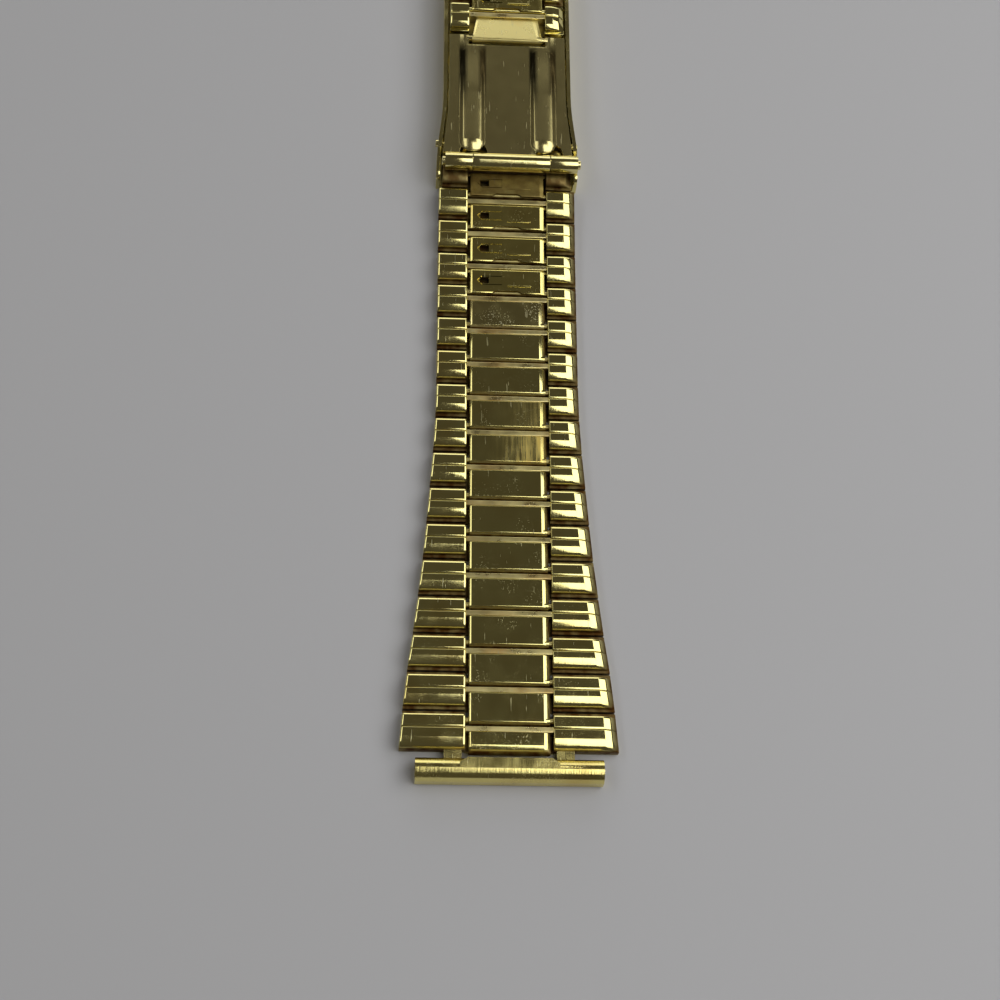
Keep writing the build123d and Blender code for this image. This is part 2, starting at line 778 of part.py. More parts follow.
# Inner blade: flat sheet with two stiffeners, relief holes beside its knuckle and a bar at its end
inner_low = barrel_z - blade_sheet / 2
blade_near = barrel_y + barrel_radius + knuckle_gap
blade_end = hook_bar_y + bar_radius + bar_clearance
stiffener_near = blade_near + stiffener_start_gap
stiffener_far = hook_bar_y - stiffener_end_gap - stiffener_width / 2
arm_inner = blade_half - arm_width
window_near = hook_bar_y - hook_radius - plate_lip - bar_clearance
dome_radius = ((stiffener_width / 2) ** 2 + stiffener_height**2) / 2 / stiffener_height
with BuildPart() as inner_blade:
    with BuildSketch(Plane.XY.offset(inner_low)):
        add(flared_section(inner_low, blade_half, cover_near, blade_end, blade_flare))
        with Locations((0, (cover_near - overrun + blade_near) / 2)):
            Rectangle(mouth_half + mouth_half, blade_near - cover_near + overrun, mode=Mode.SUBTRACT)
        with Locations((barrel_shift, blade_near)):
            Rectangle(centre_knuckle_half + centre_knuckle_half, barrel_radius)
        with Locations((0, (window_near + blade_end + overrun) / 2)):
            Rectangle(arm_inner + arm_inner, blade_end + overrun - window_near, mode=Mode.SUBTRACT)
        with Locations(*[(split, blade_near) for split in knuckle_splits]):
            Circle(relief_radius, mode=Mode.SUBTRACT)
    extrude(amount=blade_sheet)
    for across in (-stiffener_across, stiffener_across):
        with BuildSketch(Plane.XZ.offset(-stiffener_near)):
            with BuildLine():
                Line(
                    (across - stiffener_width / 2, inner_low + blade_sheet),
                    (across + stiffener_width / 2, inner_low + blade_sheet),
                )
                RadiusArc(
                    (across - stiffener_width / 2, inner_low + blade_sheet),
                    (across + stiffener_width / 2, inner_low + blade_sheet),
                    dome_radius,
                )
            make_face()
        extrude(amount=-(stiffener_far - stiffener_near))
        for end in (stiffener_near, stiffener_far):
            dome_centre = inner_low + blade_sheet + stiffener_height - dome_radius
            with BuildSketch(Plane.XZ.offset(-end)):
                with BuildLine():
                    Line(
                        (across, inner_low + blade_sheet),
                        (across + stiffener_width / 2, inner_low + blade_sheet),
                    )
                    RadiusArc(
                        (across, dome_centre + dome_radius),
                        (across + stiffener_width / 2, inner_low + blade_sheet),
                        dome_radius,
                    )
                    Line((across, inner_low + blade_sheet), (across, dome_centre + dome_radius))
                make_face()
            revolve(axis=Axis((across, end, 0), (0, 0, 1)))
    with BuildSketch(Plane.YZ):
        with Locations((hook_bar_y, hook_bar_z)):
            Circle(bar_radius)
    extrude(amount=arm_inner + sheet, both=True)
    with BuildSketch(barrel_plane):
        with Locations((barrel_y, barrel_z)):
            Circle(barrel_radius)
    extrude(amount=centre_knuckle_half, both=True)
    with BuildSketch(barrel_plane):
        with Locations((barrel_y, barrel_z)):
            Circle(pin_bore)
    extrude(amount=centre_knuckle_half, both=True, mode=Mode.SUBTRACT)
write(inner_blade.part, "inner_blade")

# Spring bar: its body turns in the clasp end's tube and its tips stand out of the cover's walls
tip_half = cover_half + mouth_flare * flare_at_spring_bar_share + spring_tip_stand_out
with BuildPart() as clasp_spring_bar:
    with BuildSketch(Plane.YZ):
        with Locations((spring_bar_y, spring_bar_z)):
            Circle(spring_bar_radius)
    extrude(amount=cover_half - wall - spring_bar_body_gap, both=True)
    with BuildSketch(Plane.YZ):
        with Locations((spring_bar_y, spring_bar_z)):
            Circle(spring_tip_radius)
    extrude(amount=tip_half, both=True)
write(clasp_spring_bar.part, "clasp_spring_bar")
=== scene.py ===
"""A gold-plated folded-link watch bracelet, lying skin side up with its folding clasp shut."""
import json
import math

import bmesh
import bpy
from mathutils import Matrix, Vector


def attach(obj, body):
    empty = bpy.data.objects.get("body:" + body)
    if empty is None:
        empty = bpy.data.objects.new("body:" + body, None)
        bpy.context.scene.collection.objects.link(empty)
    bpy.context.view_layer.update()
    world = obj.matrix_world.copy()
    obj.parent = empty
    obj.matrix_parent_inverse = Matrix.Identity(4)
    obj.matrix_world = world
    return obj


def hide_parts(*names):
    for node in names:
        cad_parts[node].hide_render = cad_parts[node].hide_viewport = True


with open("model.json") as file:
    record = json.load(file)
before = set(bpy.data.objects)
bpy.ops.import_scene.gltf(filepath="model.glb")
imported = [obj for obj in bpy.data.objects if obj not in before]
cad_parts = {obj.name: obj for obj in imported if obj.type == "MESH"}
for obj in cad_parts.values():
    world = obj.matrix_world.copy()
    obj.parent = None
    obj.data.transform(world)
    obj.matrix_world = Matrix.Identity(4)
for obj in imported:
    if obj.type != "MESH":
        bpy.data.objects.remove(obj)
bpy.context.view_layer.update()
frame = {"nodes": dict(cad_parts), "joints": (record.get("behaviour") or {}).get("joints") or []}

MM = 0.001
joint_places = {j["name"]: Vector(j["pos_m"]) / MM for j in frame["joints"]}
FAR = Vector((0, 1, 0))
NEAR = Vector((0, -1, 0))

# Sizes of the band in millimetres, as the solids have them
LOWER_LINKS = 17
UPPER_LINKS = 14
FIRST_FLAP_LINK = 14
UPPER_FLAP_LINK = 2
CLASP_SIDE_LINKS = 4
PITCH = 3.9
STRAIGHT_WIDTH = 14.6
LUG_END_WIDTH = 20.9
CLASP_LINK_WIDTH = 12.6
MOUTH_LINK_WIDTH = 13.9
FLARE_SHARES = (1.0, 0.91, 0.79, 0.63, 0.49, 0.36, 0.26, 0.17, 0.08, 0.02, 0.0)
CHANNEL_HALF = 4.2
PLATE_HALF = 3.9
TUBE_RADIUS = 1.15
BAR_RADIUS = 0.3
HOOK_BORE = 0.35
HOOK_RADIUS = 0.6

# Side view of a link, from its hinge bar towards the next one (y runs backwards)
LEDGE_FRONT = 0.88
LEDGE_HEIGHT = -0.10
RIB_A_FRONT = 0.44
RIB_SPLIT = -0.88
SPLIT_HALF = 0.025
RIB_B_BEND = -1.40
RIB_B_END = -2.55
RIB_B_END_HEIGHT = 0.10
TONGUE_END = -2.82
END_RIB_REACH = -2.90
END_RIB_SHEET = 0.11
RIB_TOP = 0.72
RIB_ROOT = -0.32
LINK_BOTTOM = -1.15
SHOW_CHAMFER = 0.25
STRIP_FRONT = -0.70
STRIP_BACK = -1.25
STRIP_TOP = 0.56
PLATE_FRONT = -1.30
PLATE_END = -4.20
PLATE_TOP = 0.60
FLOOR_TOP = -0.68
ROLL_STEPS = 12
BAR_STEPS = 24
CURL_STEPS = 18
PLATE_CURL = (80, 330)
JAW_CURL = (180, 360)

# Heights in a link between which brown dirt and painted shade darken it, and the show side, which stays clean
# and unshaded
RIB_DIRT_AND_SHADE = (0.52, 0.10)
PLATE_DIRT_AND_SHADE = (0.55, 0.28)
CLEAN_UNSHADED_PLATE = (-0.40, -0.90)
# Painted shadow of the clasp over the links at its mouth: the least share of dirt and painted shade that each
# of them gets
MOUTH_PAINTED_SHADOW = {"lower_link_17": 0.85, "lower_link_17_flap": 0.75,
              "lower_link_16": 0.20, "lower_link_16_flap": 0.12}
SHOW_SIDE = -1.1
SHOW_SIDE_RISE = 0.3

# Rounding of the pressed edges
RIB_ROUND = 0.06
PLATE_ROUND = 0.05
FINE_ROUND = 0.04
STRIP_ROUND = 0.09
END_PLATE_ROUND = 0.10
FLAP_ROUND = 0.07
ROUND_STEPS = 3
SHARP_ANGLE = math.radians(24)

# Shading breaks at edges sharper than this, in degrees
FOLD_ANGLE = 32
SHEET_FOLD_ANGLE = 50

# Distances that count as nothing, in millimetres
SAME_PLACE = 0.001
CUT_TOLERANCE = 0.0001
FLAT_ANGLE = math.radians(1)


# Small helpers for meshes, all in millimetres until a piece is finished
def drawn_across(bm, outline, low, high):
    """Draws a side view outline of (y, z) points across the band, from x = low to x = high."""
    face = bm.faces.new([bm.verts.new((low, y, z)) for y, z in outline])
    grown = bmesh.ops.extrude_face_region(bm, geom=[face])["geom"]
    moved = [part for part in grown if isinstance(part, bmesh.types.BMVert)]
    bmesh.ops.translate(bm, verts=moved, vec=(high - low, 0, 0))
    return bm


def round_edges(bm, size, chosen=None, steps=ROUND_STEPS):
    """Rounds the sharp edges, or those of them that the test chooses."""
    bmesh.ops.recalc_face_normals(bm, faces=bm.faces)
    sharp = [e for e in bm.edges if e.is_manifold and e.calc_face_angle(0) > SHARP_ANGLE]
    if chosen:
        sharp = [e for e in sharp if chosen(e)]
    bmesh.ops.bevel(bm, geom=sharp, offset=size, offset_type="OFFSET", segments=steps, profile=0.5,
                    affect="EDGES", clamp_overlap=True, material=-1)
    return bm


def cut_mesh(bm, point, normal):
    """Adds the edges in which a plane meets the mesh, and takes nothing away."""
    bmesh.ops.bisect_plane(bm, geom=bm.verts[:] + bm.edges[:] + bm.faces[:], dist=CUT_TOLERANCE,
                           plane_co=point, plane_no=normal)


def joined(*shells):
    """Puts several closed shells into one mesh."""
    whole = bmesh.new()
    for shell in shells:
        held = bpy.data.meshes.new("held")
        shell.to_mesh(held)
        whole.from_mesh(held)
        bpy.data.meshes.remove(held)
        shell.free()
    return whole


def shade_and_soil(bm, heights, least=0.0, core=0.0):
    """Stores how much dirt and painted shade each point gets: 0 outside, 1 between the links, 2 for the
    painted near-black shade in the core under the plates.
    """
    depth = bm.verts.layers.float.new("depth")
    clear_above, dark_below = heights
    for vert in bm.verts:
        height = vert.co.z
        # least lifts the whole link's share: the painted shadow of the clasp at its mouth, and none elsewhere
        falling = min(1.0, max(least, (clear_above - height) / (clear_above - dark_below)))
        # The channel's core under the plates gets the painted near-black shade
        if abs(vert.co.x) < core:
            falling = 2.0
        rising = min(1.0, max(0.0, (height - SHOW_SIDE) / SHOW_SIDE_RISE))
        vert[depth] = min(falling, rising)


def finish_piece(bm, name, body, slot, material, replaced=(), place=None, sharp=FOLD_ANGLE):
    """Turns the mesh into a named piece that rides on a body and stands for the given nodes."""
    bmesh.ops.recalc_face_normals(bm, faces=bm.faces)
    if place:
        heights = PLATE_DIRT_AND_SHADE if slot == "plates" else RIB_DIRT_AND_SHADE
        if name.startswith("upper_link_01"):  # It lies on the clasp, where it gets next to no dirt or painted shade
            heights = CLEAN_UNSHADED_PLATE
        shade_and_soil(bm, heights, MOUTH_PAINTED_SHADOW.get(body, 0.0), PLATE_HALF if name.endswith("_ribs") else 0.0)
        bmesh.ops.transform(bm, matrix=place, verts=bm.verts)
    bmesh.ops.scale(bm, vec=(MM, MM, MM), verts=bm.verts)
    for face in bm.faces:
        face.smooth = True
    for edge in bm.edges:
        edge.smooth = not edge.is_manifold or edge.calc_face_angle(0) < math.radians(sharp)
    mesh = bpy.data.meshes.new(name)
    bm.to_mesh(mesh)
    bm.free()
    mesh.materials.append(material)
    piece = bpy.data.objects.new(name, mesh)
    bpy.context.scene.collection.objects.link(piece)
    evened = piece.modifiers.new("even_shading", "WEIGHTED_NORMAL")
    evened.keep_sharp = True
    evened.weight = 100
    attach(piece, body)
    if replaced:
        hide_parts(*replaced)
    return piece


def solid_copy(node):
    """A merged copy of a solid's mesh, in millimetres, with its flat faces whole again."""
    bm = bmesh.new()
    bm.from_mesh(frame["nodes"][node].data)
    bmesh.ops.scale(bm, vec=(1 / MM, 1 / MM, 1 / MM), verts=bm.verts)
    bmesh.ops.remove_doubles(bm, verts=bm.verts, dist=SAME_PLACE)
    bmesh.ops.dissolve_limit(bm, angle_limit=FLAT_ANGLE, verts=bm.verts, edges=bm.edges)
    return bm


# Materials: gold plate in several finishes, named for how each surface was made
def linear(code):
    """An sRGB hex colour as linear values with an alpha of one."""
    channels = [int(code[i:i + 2], 16) / 255 for i in (1, 3, 5)]
    return tuple(c / 12.92 if c <= 0.04045 else ((c + 0.055) / 1.055) ** 2.4 for c in channels) + (1.0,)


def add_node(tree, kind, inputs=(), **settings):
    """Adds a node: settings are its properties, inputs are values or outputs of other nodes, by socket."""
    node = tree.nodes.new(kind)
    for key, value in settings.items():
        setattr(node, key, value)
    for socket, value in dict(inputs).items():
        if isinstance(value, bpy.types.NodeSocket):
            tree.links.new(value, node.inputs[socket])
        else:
            node.inputs[socket].default_value = value
    return node


# Noise patterns: turn in radians, size of a feature in millimetres along x, y and z, and detail. Brushing,
# drawn lines and hairlines are finer than a pixel on the real band and are drawn as coarse as they show
PATTERNS = {
    "stains": (0.0, (4.348, 4.348, 4.348), 3.0),
    "mottling": (0.0, (1.111, 1.111, 1.111), 3.0),
    "patches": (0.0, (3.030, 3.030, 3.030), 2.0),
    "flecks": (0.0, (0.1923, 0.1923, 0.1923), 4.0),
    "hairlines": (0.6, (0.1923, 2.381, 1.111), 2.0),
    "brushing": (0.0, (0.2381, 3.846, 3.846), 3.0),
    "handling": (0.0, (1.429, 1.429, 1.429), 4.0),
    "waves": (0.0, (2.381, 2.381, 2.381), 2.0),
    "drawn": (0.0, (0.1333, 2.381, 2.381), 3.0),
}
# Size of a grey dot, and heights of the pressed waves and the drawn lines, in millimetres
DOT_SIZE = 0.3125
WAVE_HEIGHT = 0.12
DRAWN_HEIGHT = 0.03

# What is made of a pattern: new name, pattern, the values between which it rises, and what they become
RANGES = (
    ("stained", "stains", 0.50, 0.72, 0.0, 0.75),
    # sunk: brown dirt and painted shade in the joints, where shade falls between the links
    ("sunk", "depth", 0.1, 0.9, 0.0, 1.0),
    # black: painted near-black shade in the channel's core under the plates
    ("core_shade", "depth", 1.2, 1.8, 0.0, 1.0),
    ("mottled", "mottling", 0.30, 0.62, 0.75, 1.0),
    ("patched", "patches", 0.44, 0.60, 0.0, 1.0),
    ("dotted", "dots", 0.20, 0.10, 0.0, 1.0),
    ("flecked", "flecks", 0.60, 0.66, 0.0, 1.0),
    ("scratches", "hairlines", 0.70, 0.73, 0.0, 1.0),
    ("brushed", "brushing", 0.38, 0.62, 0.35, 1.0),
    ("rightwards", "across", -2.2 * MM, 3.4 * MM, 0.0, 1.0),
)

# Painted shade on the flanks of the blade's stiffeners, on the top side only: a near-black painted reflection
# on the left flanks and a painted brown shade on the right ones. Across the band, places are measured from
# the middle between the stiffeners and wrapped round at each one
STIFFENER_X = 3.85
FLANK_SHADE_RANGES = (
    ("onset", "onward", 72.5 * MM, 77.5 * MM, 0.0, 1.0),
    ("tip", "onward", 82.0 * MM, 80.8 * MM, 0.0, 1.0),
    ("top_side", "upward", 2.3 * MM, 2.5 * MM, 0.0, 1.0),
    ("left_in", "wrapped", 2.30 * MM, 2.55 * MM, 0.0, 1.0),
    ("left_out", "wrapped", 3.45 * MM, 3.00 * MM, 0.0, 1.0),
    ("right_out", "wrapped", -3.30 * MM, -2.90 * MM, 0.0, 1.0),
    ("right_in", "wrapped", -2.25 * MM, -2.45 * MM, 0.0, 1.0),
)
FLANK_SHADE_SUMS = (
    ("reach", "MULTIPLY", "onset", "tip"), ("reach", "MULTIPLY", "reach", "top_side"),
    ("left", "MULTIPLY", "left_in", "left_out"), ("left", "MULTIPLY", "left", "reach"),
    ("left", "MULTIPLY", "left", 0.95),
    ("right", "MULTIPLY", "right_out", "right_in"), ("right", "MULTIPLY", "right", "reach"),
    ("right", "MULTIPLY", "right", 0.8),
)
# Painted brown shade on the right flanks and a painted near-black reflection on the left ones
FLANK_SHADE_TINTS = (("right", "#4A3208"), ("left", "#0C0904"))


def gold_plate(name, base, stain, roughness, specks=0.3, haze=0.0, lines=0.15, seed=0.0, smear=0.3,
               brushed=0.0, wavy=0.10, flank_shade=False):
    """Gold plate on brass: warm stains, grey specks, hairline scratches, drawn lines, brown dirt and painted
    shade in the joints, painted near-black shade in their core.
    """
    material = bpy.data.materials.new(name)
    material.use_nodes = True
    tree = material.node_tree
    shader = tree.nodes["Principled BSDF"]
    shader.inputs["Metallic"].default_value = 1.0
    points = add_node(tree, "ShaderNodeTexCoord").outputs["Object"]
    place = add_node(tree, "ShaderNodeMapping", {"Vector": points, "Location": (seed, seed, seed)}).outputs[0]
    made = {}
    for key, (turn, size, detail) in PATTERNS.items():
        laid = add_node(tree, "ShaderNodeMapping", {
            "Vector": place, "Rotation": (0, 0, turn), "Scale": [1 / (length * MM) for length in size]})
        made[key] = add_node(tree, "ShaderNodeTexNoise", {
            "Vector": laid.outputs[0], "Scale": 1.0, "Detail": detail}).outputs[0]
    made["dots"] = add_node(tree, "ShaderNodeTexVoronoi", {
        "Vector": place, "Scale": 1 / (DOT_SIZE * MM)}).outputs[0]
    made["depth"] = add_node(tree, "ShaderNodeAttribute", attribute_name="depth").outputs["Fac"]
    parted = add_node(tree, "ShaderNodeSeparateXYZ", {"Vector": points})
    made["across"], made["onward"], made["upward"] = parted.outputs
    # Smears from handling set the roughness; the joints' dirt and painted shade, marks and brushing are
    # duller
    smoothest, roughest = (1 - smear) * roughness, (1 + smear) * roughness + haze
    ranges = RANGES + (("smeared", "handling", 0.35, 0.70, smoothest, roughest),)
    sums = (
        ("dirt_and_shade", "MULTIPLY", "sunk", "mottled"),
        ("specked", "MAXIMUM", "dotted", "flecked"), ("specked", "MULTIPLY", "specked", "patched"),
        ("specked", "MULTIPLY", "specked", specks),
        ("scratched", "MULTIPLY", "scratches", 0.35 + 0.3 * specks),
        ("marks", "MAXIMUM", "specked", "scratched"),
        ("rubbed", "MULTIPLY", "rightwards", "brushed"), ("rubbed", "MULTIPLY", "rubbed", brushed),
        ("dull_dirt_and_shade", "MULTIPLY", "dirt_and_shade", 0.5), ("dull_marks", "MULTIPLY", "marks", 0.55),
        ("dull_brushing", "MULTIPLY", "rubbed", 0.42), ("dull", "MAXIMUM", "dull_dirt_and_shade", "dull_marks"),
        ("dull", "MAXIMUM", "dull", "dull_brushing"), ("rough", "ADD", "smeared", "dull"),
    )
    # Warm stains, warmer brushing, grey marks, brown dirt and painted shade in the joints, and painted
    # near-black shade deep inside them
    tints = (("stained", stain), ("rubbed", "#F7D974"), ("marks", "#CFCBB0"), ("dirt_and_shade", "#5A3C1A"),
             ("core_shade", "#140A04"))
    # Painted shade on the flanks of the stiffeners
    if flank_shade:
        made["wrapped"] = add_node(tree, "ShaderNodeMath", {
            0: made["across"], 1: STIFFENER_X * MM, 2: -STIFFENER_X * MM}, operation="WRAP").outputs[0]
        ranges, sums, tints = ranges + FLANK_SHADE_RANGES, sums + FLANK_SHADE_SUMS, tints + FLANK_SHADE_TINTS
    for key, source, low, high, first, last in ranges:
        made[key] = add_node(tree, "ShaderNodeMapRange", {
            "Value": made[source], "From Min": low, "From Max": high,
            "To Min": first, "To Max": last}).outputs[0]
    for key, operation, first, second in sums:
        made[key] = add_node(tree, "ShaderNodeMath", {
            0: made.get(first, first), 1: made.get(second, second)}, operation=operation).outputs[0]
    colour = linear(base)
    for amount, tone in tints:
        colour = add_node(tree, "ShaderNodeMix", {
            0: made[amount], 6: colour, 7: linear(tone)}, data_type="RGBA").outputs[2]
    # Bump: waves of the pressed sheet, then the lines drawn along it
    waves = add_node(tree, "ShaderNodeBump", {
        "Height": made["waves"], "Strength": wavy, "Distance": WAVE_HEIGHT * MM})
    drawn = add_node(tree, "ShaderNodeBump", {
        "Height": made["drawn"], "Normal": waves.outputs[0], "Strength": lines,
        "Distance": DRAWN_HEIGHT * MM})
    tree.links.new(colour, shader.inputs["Base Color"])
    tree.links.new(made["rough"], shader.inputs["Roughness"])
    tree.links.new(drawn.outputs[0], shader.inputs["Normal"])
    return material


# Polished folds of plated sheet: near mirrors, olive where the room is dark and pale gold where a lamp shows
rib_gold = gold_plate("polished_gold_plate_ribs", "#F4E99C", "#EDD886", 0.10, specks=0.2, lines=0.05)
# Polished tops worn by skin: the same mirror, with faint grey specks and hairlines
plate_gold = gold_plate("polished_gold_plate_plates", "#F0E596", "#E8D686", 0.10, specks=0.35, lines=0.04)
# Brushed on the right half: streaks of warm, blurred gold that run along the band
brushed_gold = gold_plate("brushed_gold_plate_plates", "#F0E596", "#E8D686", 0.12, lines=0.05, seed=0.02,
                          brushed=1.0)
# Half as brushed: the streaks only tint the mirror
rubbed_gold = gold_plate("rubbed_gold_plate_plates", "#F0E596", "#E8D686", 0.11, specks=0.4, lines=0.05,
                         seed=0.03, brushed=0.5)
# Satin: the tapered plate glows in an even pale yellow and mirrors nothing
satin_gold = gold_plate("satin_gold_plate_tapered_plate", "#FFEFA0", "#FFE38C", 0.34, specks=0.1, lines=0.04,
                        seed=0.04, wavy=0.02)
# Worn: thick grey specks on a mirror gone slightly hazy
worn_gold = gold_plate("worn_gold_plate_plates", "#EFE29A", "#E2CE86", 0.14, specks=0.9, haze=0.04,
                       lines=0.10, seed=0.02)
# Polished stampings: a soft mirror with a little waviness round the pressed arrow
flap_gold = gold_plate("polished_gold_plate_flaps", "#F3E48C", "#E8CF74", 0.14, lines=0.12, seed=0.05)
# Satin strips, rubbed down to the brass in places: pale tan with orange stains and grey pits
strip_gold = gold_plate("satin_gold_plate_strips", "#E9DA98", "#C79C58", 0.36, specks=0.5, lines=0.3,
                        seed=0.08)
# Rolled tubes: long soft highlights, broken up by the rolling lines
tube_gold = gold_plate("satin_gold_plate_tubes", "#F1E290", "#E3CB78", 0.20, specks=0.2, lines=0.35)
# Smooth sheet: an even olive with hardly a mark, with painted shade on the stiffeners' flanks
blade_gold = gold_plate("smooth_gold_plate_blades", "#E2D492", "#E2D492", 0.22, specks=0.0, lines=0.03,
                        smear=0.05, wavy=0.02, flank_shade=True)
# Polished by turning in each other: sharp bright lines along the knuckles
knuckle_gold = gold_plate("polished_gold_plate_knuckles", "#F2E6A0", "#EBD88C", 0.14, specks=0.15, lines=0.10)
# Polished cover: dark gold walls with thin bright rims
cover_gold = gold_plate("polished_gold_plate_cover", "#EFE298", "#E4D084", 0.16, specks=0.2)
# Plated steel pins: slightly paler and less yellow than the brass sheet
pin_gold = gold_plate("gold_plated_steel_pins", "#F0E4A4", "#E8D68C", 0.18, specks=0.1)


# Links whose plates have brushed, specked or satin tops, by name
PLATE_WEAR = {"lower_link_09": brushed_gold, "lower_link_10": rubbed_gold, "lower_link_13": worn_gold,
              "upper_link_01": satin_gold}


# Places of the links: every link has its own hinge bar and hangs from it towards the next one
def link_place(own, hooked):
    """The matrix of a link from its own hinge bar and the bar that its plate hooks over."""
    along = own - hooked
    tilt = math.atan2(along.z, along.y)
    return Matrix.Translation(own) @ Matrix.Rotation(tilt, 4, "X")


def half_width(from_lug):
    """Half the width of the band, so many links away from the lug end."""
    share = FLARE_SHARES[min(from_lug, len(FLARE_SHARES) - 1)]
    return (STRAIGHT_WIDTH + (LUG_END_WIDTH - STRAIGHT_WIDTH) * share) / 2


lower_bars = [joint_places["lower_lug_swing"]]
lower_bars += [joint_places["lower_link_%02d_bend" % n] for n in range(1, LOWER_LINKS + 1)]
upper_bars = [joint_places["upper_link_%02d_bend" % n] for n in range(1, UPPER_LINKS + 1)]
upper_bars += [joint_places["upper_lug_swing"]]


# Pressed slopes as (run, slope, blend): how far in they start, how steep they are, how softly they begin
FOLDED_END = ((1.30, 0.20 / 0.70, 0.10), (0.60, 1.0 - 0.20 / 0.70, 0.10))
PLAIN_END = ((0.19, 0.40, 0.03), (0.05, 1.0, 0.03))
INNER_END = {-1: ((0.17, 0.40, 0.03),), 1: ((0.09, 0.40, 0.02),)}
FAR_EDGE = ((0.21, 0.32, 0.03),)
NEAR_EDGE = ((0.17, 0.30, 0.03),)
SPLIT_EDGE = ((0.08, 0.30, 0.02),)
BLEND_STEPS = (-1.0, -0.33, 0.33, 1.0)


def drop_at(inward, slopes):
    """How far the top comes down at a distance inward from an edge."""
    drop = 0.0
    for start, slope, blend in slopes:
        past = start - inward
        if past > blend:
            drop += slope * past
        elif past > -blend:
            drop += slope * (past + blend) ** 2 / (4 * blend)
    return drop


def press_edge(bm, corner, outward, slopes, root, top):
    """Presses the top down along one edge, more and more towards it, and leaves the root where it is."""
    for start, _, blend in slopes:
        for step in BLEND_STEPS:
            cut_mesh(bm, corner - outward * (start + step * blend), outward)
    for vert in bm.verts:
        inward = (corner - vert.co).dot(outward)
        share = min(1.0, max(0.0, (vert.co.z - root) / (top - root)))
        vert.co.z -= drop_at(inward, slopes) * share


def rib_block(outline, side, near_half, far_half, front, back, far_slopes, near_slopes=()):
    """One rib on one side of a link: a bar with pressed edges, whose outer end follows the taper."""
    inner = side * CHANNEL_HALF
    bm = drawn_across(bmesh.new(), outline, inner, side * max(near_half, far_half))

    def outer_at(y):
        share = (y - back) / (front - back)
        return near_half + (far_half - near_half) * share

    for vert in bm.verts:
        if abs(vert.co.x) > CHANNEL_HALF + FINE_ROUND:
            vert.co.x = side * outer_at(vert.co.y)
    round_edges(bm, RIB_ROUND, lambda e: min(v.co.z for v in e.verts) > RIB_ROOT + FINE_ROUND)
    edge_run = Vector((side * (far_half - near_half), front - back, 0))
    outward = side * Vector((edge_run.y, -edge_run.x, 0)).normalized()
    corner = Vector((side * near_half, back, 0))
    ends = max(y for y, _ in outline), min(y for y, _ in outline)
    for place, facing, slopes in (
        (Vector((0, ends[0], 0)), FAR, far_slopes),
        (Vector((0, ends[1], 0)), NEAR, near_slopes),
        (Vector((inner, 0, 0)), Vector((-side, 0, 0)), INNER_END[side]),
        (corner, outward, FOLDED_END if side > 0 else PLAIN_END),
    ):
        press_edge(bm, place, facing, slopes, RIB_ROOT, RIB_TOP)
    return bm


def rib_b_outline(rib_end):
    """The near rib's side view: a flat top that rolls down towards the next link."""
    bend = rib_end - RIB_B_END + RIB_B_BEND
    rolled = []
    for n in range(ROLL_STEPS + 1):
        angle = math.radians(90 * n / ROLL_STEPS)
        rolled.append((bend + (rib_end - bend) * math.sin(angle),
                       RIB_B_END_HEIGHT + (RIB_TOP - RIB_B_END_HEIGHT) * math.cos(angle)))
    far_end = RIB_SPLIT - SPLIT_HALF
    return [(far_end, RIB_ROOT), (far_end, RIB_TOP)] + rolled + [(rib_end, RIB_ROOT)]


def base_outline(rib_end, back):
    """The folded sheet below the ribs, with the show side's two rounded bars."""
    return [
        (LEDGE_FRONT, LEDGE_HEIGHT), (back, LEDGE_HEIGHT),
        (back, LINK_BOTTOM + SHOW_CHAMFER), (back + SHOW_CHAMFER, LINK_BOTTOM),
        (RIB_SPLIT - SHOW_CHAMFER, LINK_BOTTOM), (RIB_SPLIT, LINK_BOTTOM + SHOW_CHAMFER),
        (RIB_SPLIT + SHOW_CHAMFER, LINK_BOTTOM), (LEDGE_FRONT - SHOW_CHAMFER, LINK_BOTTOM),
        (LEDGE_FRONT, LINK_BOTTOM + SHOW_CHAMFER),
    ]


def box_outline(front, back, low, high):
    """A rectangle in the side view."""
    return [(front, low), (front, high), (back, high), (back, low)]


def arc_points(y, radius, turns):
    """Points round a hinge bar at some angles, in the side view."""
    return [(y + radius * math.cos(t), radius * math.sin(t)) for t in turns]


def curl_outline(radius, start, stop):
    """A sheet bent round the next hinge bar, between two arcs, from one angle to another in degrees."""
    turns = [math.radians(start + (stop - start) * n / CURL_STEPS) for n in range(CURL_STEPS + 1)]
    return arc_points(-PITCH, radius, turns) + arc_points(-PITCH, HOOK_BORE, turns[::-1])


def bent_sheet(outline, thickness):
    """The side view of a sheet: an outline of points from end to end, and the same line moved inwards."""
    inner = []
    for n, (y, z) in enumerate(outline):
        before, after = outline[max(n - 1, 0)], outline[min(n + 1, len(outline) - 1)]
        run = Vector((after[0] - before[0], after[1] - before[1])).normalized()
        inner.append((y - run.y * thickness, z + run.x * thickness))
    return outline + inner[::-1]


